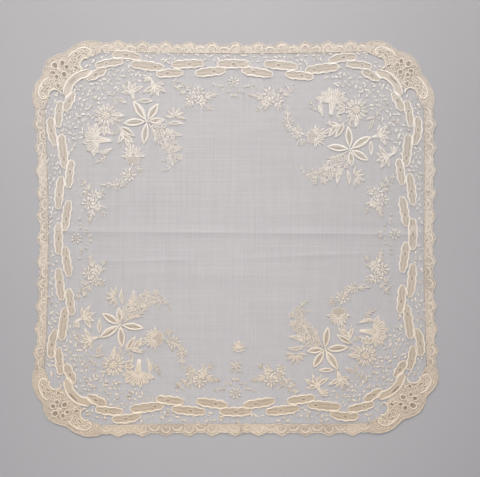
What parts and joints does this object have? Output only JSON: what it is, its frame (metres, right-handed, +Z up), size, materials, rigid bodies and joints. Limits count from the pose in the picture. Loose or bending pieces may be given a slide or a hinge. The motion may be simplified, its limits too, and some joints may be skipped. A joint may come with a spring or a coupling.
{
  "type": "linen handkerchief",
  "caption": "Square sheer linen handkerchief with whitework embroidery, a narrow scalloped lace edging and openwork lace corners, laid out flat for wiping, carrying or display.",
  "frame": {"origin": "under the middle of the handkerchief, on the surface it lies on", "axes": "+Z up out of the face side, which is the thin way; +X towards the right side and the longer of the two widths; +Y towards the top side"},
  "size_m": [0.4179, 0.4076, 0.0025],
  "materials": {
    "linen": "sheer plain-woven linen, soft matt",
    "edging_lace": "ivory bobbin lace, matt",
    "corner_lace": "ivory needle lace, matt",
    "embroidery_thread": "padded satin stitch in ivory cotton, soft sheen"
  },
  "bodies": {
    "root": {"linen_ground": "linen", "lace_edging_north": "edging_lace", "lace_edging_east": "edging_lace", "lace_edging_south": "edging_lace", "lace_edging_west": "edging_lace", "lace_corner_ne": "corner_lace", "lace_corner_se": "corner_lace", "lace_corner_sw": "corner_lace", "lace_corner_nw": "corner_lace"}
  },
  "joints": []
}
